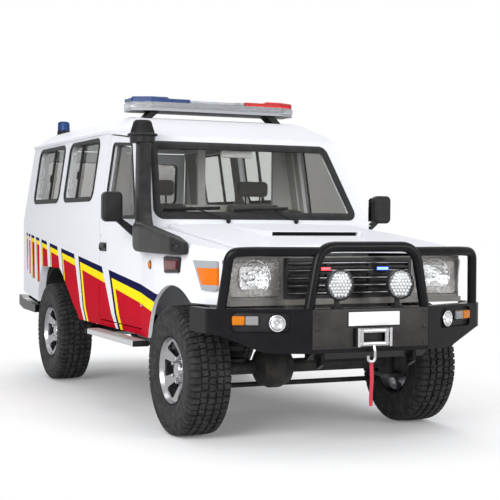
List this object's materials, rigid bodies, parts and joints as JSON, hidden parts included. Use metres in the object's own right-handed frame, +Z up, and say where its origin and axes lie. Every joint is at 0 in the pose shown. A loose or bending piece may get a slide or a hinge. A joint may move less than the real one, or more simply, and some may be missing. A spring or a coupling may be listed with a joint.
{
  "type": "four-wheel-drive troop carrier ambulance",
  "caption": "Long boxy off-road ambulance with bull bar, raised roof and light bar; doors and hood open, wheels roll and the front pair steers.",
  "frame": {"origin": "on the ground under the middle of the overall box", "axes": "vehicle faces -Y, its left side is +X, +Z is up"},
  "size_m": [2.176, 5.198, 2.214],
  "materials": {
    "white_paint": "gloss",
    "chassis_black": "satin",
    "black_steel": "matte",
    "silver_plastic": "satin",
    "black_plastic": "matte",
    "grey_plastic": "matte",
    "clear_lens": "gloss",
    "amber_lens": "gloss",
    "blue_lens": "gloss",
    "red_lens": "gloss",
    "chrome": "polished",
    "red_webbing": "woven",
    "aluminium": "brushed",
    "black_rubber": "matte",
    "seat_cloth": "woven",
    "pale_panel": "satin",
    "cast_metal": "rough",
    "tinted_glass": "gloss",
    "tyre": "matte",
    "alloy": "polished"
  },
  "bodies": {
    "body_shell": {"chassis_frame": "chassis_black", "floor_pan": "white_paint", "cowl_frame": "white_paint", "fixed_glass": "tinted_glass", "quarter_left": "white_paint", "quarter_right": "white_paint", "roof_cap": "white_paint", "fender_left": "white_paint", "fender_right": "white_paint", "front_panel": "silver_plastic", "grille": "black_plastic", "front_lamps": "clear_lens", "corner_lamps": "amber_lens", "bull_bar": "black_steel", "bar_hoops": "black_steel", "driving_lamps": "black_plastic", "fairlead": "chrome", "hook_strap": "red_webbing", "snorkel": "black_plastic", "light_bar": "black_plastic", "light_bar_clear": "clear_lens", "blue_lenses": "blue_lens", "red_lenses": "red_lens", "tail_lamps": "red_lens", "side_steps": "aluminium", "mud_flaps": "black_rubber", "rear_bumper": "black_steel", "dashboard": "grey_plastic", "front_seats": "seat_cloth", "partition": "pale_panel", "rear_benches": "pale_panel", "powertrain": "cast_metal", "front_axle": "chassis_black", "rear_axle": "chassis_black", "springs": "chassis_black"},
    "hood": {"hood": "white_paint"},
    "front_door_left": {"door_left": "white_paint", "door_glass_left": "tinted_glass", "mirror_left": "black_plastic"},
    "front_door_right": {"door_right": "white_paint", "door_glass_right": "tinted_glass", "mirror_right": "black_plastic"},
    "back_door_left": {"rear_door_left": "white_paint", "rear_glass_left": "tinted_glass"},
    "back_door_right": {"rear_door_right": "white_paint", "rear_glass_right": "tinted_glass", "spare_tyre": "tyre", "spare_rim": "alloy"},
    "hub_carrier_left": {"knuckle_left": "cast_metal"},
    "hub_carrier_right": {"knuckle_right": "cast_metal"},
    "track_rod": {"tie_rod": "chassis_black"},
    "hand_wheel": {"steering_wheel": "grey_plastic"},
    "wheel_front_left": {"tyre_front_left": "tyre", "rim_front_left": "alloy"},
    "wheel_front_right": {"tyre_front_right": "tyre", "rim_front_right": "alloy"},
    "wheel_rear_left": {"tyre_rear_left": "tyre", "rim_rear_left": "alloy"},
    "wheel_rear_right": {"tyre_rear_right": "tyre", "rim_rear_right": "alloy"}
  },
  "joints": [
    {"name": "hood_lift", "type": "hinge", "parent": "body_shell", "child": "hood", "pos_m": [0, -1.0775, 1.29406], "axis": [-1, 0, 0], "range_deg": [0, 55]},
    {"name": "front_door_left_swing", "type": "hinge", "parent": "body_shell", "child": "front_door_left", "pos_m": [0.845, -0.9795, 1], "axis": [0, 0, -1], "range_deg": [0, 62]},
    {"name": "front_door_right_swing", "type": "hinge", "parent": "body_shell", "child": "front_door_right", "pos_m": [-0.845, -0.9795, 1], "axis": [0, 0, 1], "range_deg": [0, 62]},
    {"name": "back_door_left_swing", "type": "hinge", "parent": "body_shell", "child": "back_door_left", "pos_m": [0.702, 2.3105, 1], "axis": [0, 0, -1], "range_deg": [0, 95]},
    {"name": "back_door_right_swing", "type": "hinge", "parent": "body_shell", "child": "back_door_right", "pos_m": [-0.702, 2.3105, 1], "axis": [0, 0, 1], "range_deg": [0, 95]},
    {"name": "steer_left", "type": "hinge", "parent": "body_shell", "child": "hub_carrier_left", "pos_m": [0.62, -1.6675, 0.4], "axis": [0, 0, 1], "range_deg": [-30, 30]},
    {"name": "steer_right", "type": "hinge", "parent": "body_shell", "child": "hub_carrier_right", "pos_m": [-0.62, -1.6675, 0.4], "axis": [0, 0, 1], "range_deg": [-30, 30]},
    {"name": "track_rod_pivot", "type": "hinge", "parent": "hub_carrier_left", "child": "track_rod", "pos_m": [0.62, -1.4875, 0.318], "axis": [0, 0, 1], "range_deg": [-30, 30]},
    {"name": "hand_wheel_turn", "type": "hinge", "parent": "body_shell", "child": "hand_wheel", "pos_m": [0.38, -0.6175, 1.236], "axis": [0, 0.848, 0.5299], "range_deg": [-420, 420]},
    {"name": "spin_front_left", "type": "hinge", "parent": "hub_carrier_left", "child": "wheel_front_left", "pos_m": [0.7775, -1.6675, 0.4], "axis": [1, 0, 0], "continuous": true},
    {"name": "spin_front_right", "type": "hinge", "parent": "hub_carrier_right", "child": "wheel_front_right", "pos_m": [-0.7775, -1.6675, 0.4], "axis": [1, 0, 0], "continuous": true},
    {"name": "spin_rear_left", "type": "hinge", "parent": "body_shell", "child": "wheel_rear_left", "pos_m": [0.73, 1.3125, 0.4], "axis": [1, 0, 0], "continuous": true},
    {"name": "spin_rear_right", "type": "hinge", "parent": "body_shell", "child": "wheel_rear_right", "pos_m": [-0.73, 1.3125, 0.4], "axis": [1, 0, 0], "continuous": true}
  ],
  "couplings": [
    {"joint": "steer_right", "follows": "steer_left", "ratio": 1},
    {"joint": "track_rod_pivot", "follows": "steer_left", "ratio": -1},
    {"joint": "hand_wheel_turn", "follows": "steer_left", "ratio": 14}
  ]
}
